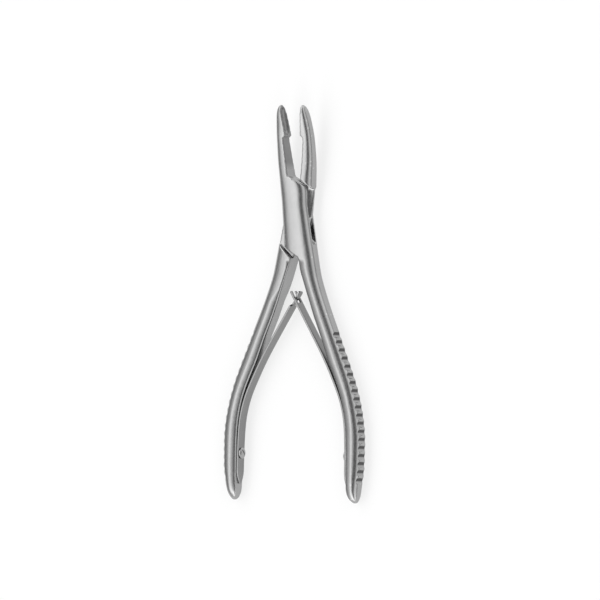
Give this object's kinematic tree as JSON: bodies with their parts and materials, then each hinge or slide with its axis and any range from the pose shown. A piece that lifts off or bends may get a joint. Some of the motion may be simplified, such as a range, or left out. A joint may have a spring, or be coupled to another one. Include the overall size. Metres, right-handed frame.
{
  "type": "bone rongeur",
  "caption": "Single-action bone rongeur: box-lock joint, curved cupped jaws, serrated handles held open by two interlocking leaf springs.",
  "frame": {"origin": "on the pivot axis of the box lock, in the flat rear face of the lock that the tool lies on", "axes": "+Z out of the front face along the pivot axis, +Y towards the jaws along the middle line, +X towards the right handle"},
  "size_m": [0.07, 0.1703, 0.0126],
  "materials": {
    "satin_steel": "satin, hardened and tempered stainless steel, fine-blasted and brushed",
    "spring_steel": "polished stainless spring steel",
    "screw_steel": "turned stainless steel"
  },
  "bodies": {
    "female_half": {"female_half": "satin_steel", "lock_pin": "satin_steel", "right_spring_screw": "screw_steel"},
    "male_half": {"male_half": "satin_steel", "left_spring_screw": "screw_steel"},
    "right_spring": {"right_leaf_spring": "spring_steel"},
    "left_spring": {"left_leaf_spring": "spring_steel"}
  },
  "joints": [
    {"name": "jaw_pivot", "type": "hinge", "parent": "female_half", "child": "male_half", "pos_m": [0, 0, 0.004], "axis": [0, 0, 1], "range_deg": [0, 12], "stiffness_Nm_per_rad": 4, "springref_deg": -5.73},
    {"name": "right_spring_flex", "type": "hinge", "parent": "female_half", "child": "right_spring", "pos_m": [0.02672, -0.1015, 0.004], "axis": [0, 0, 1], "range_deg": [-3.2, 0]},
    {"name": "left_spring_flex", "type": "hinge", "parent": "male_half", "child": "left_spring", "pos_m": [-0.02672, -0.1015, 0.004], "axis": [0, 0, 1], "range_deg": [0, 3.2]}
  ],
  "couplings": [
    {"joint": "right_spring_flex", "follows": "jaw_pivot", "ratio": -0.245},
    {"joint": "left_spring_flex", "follows": "jaw_pivot", "ratio": 0.245}
  ]
}
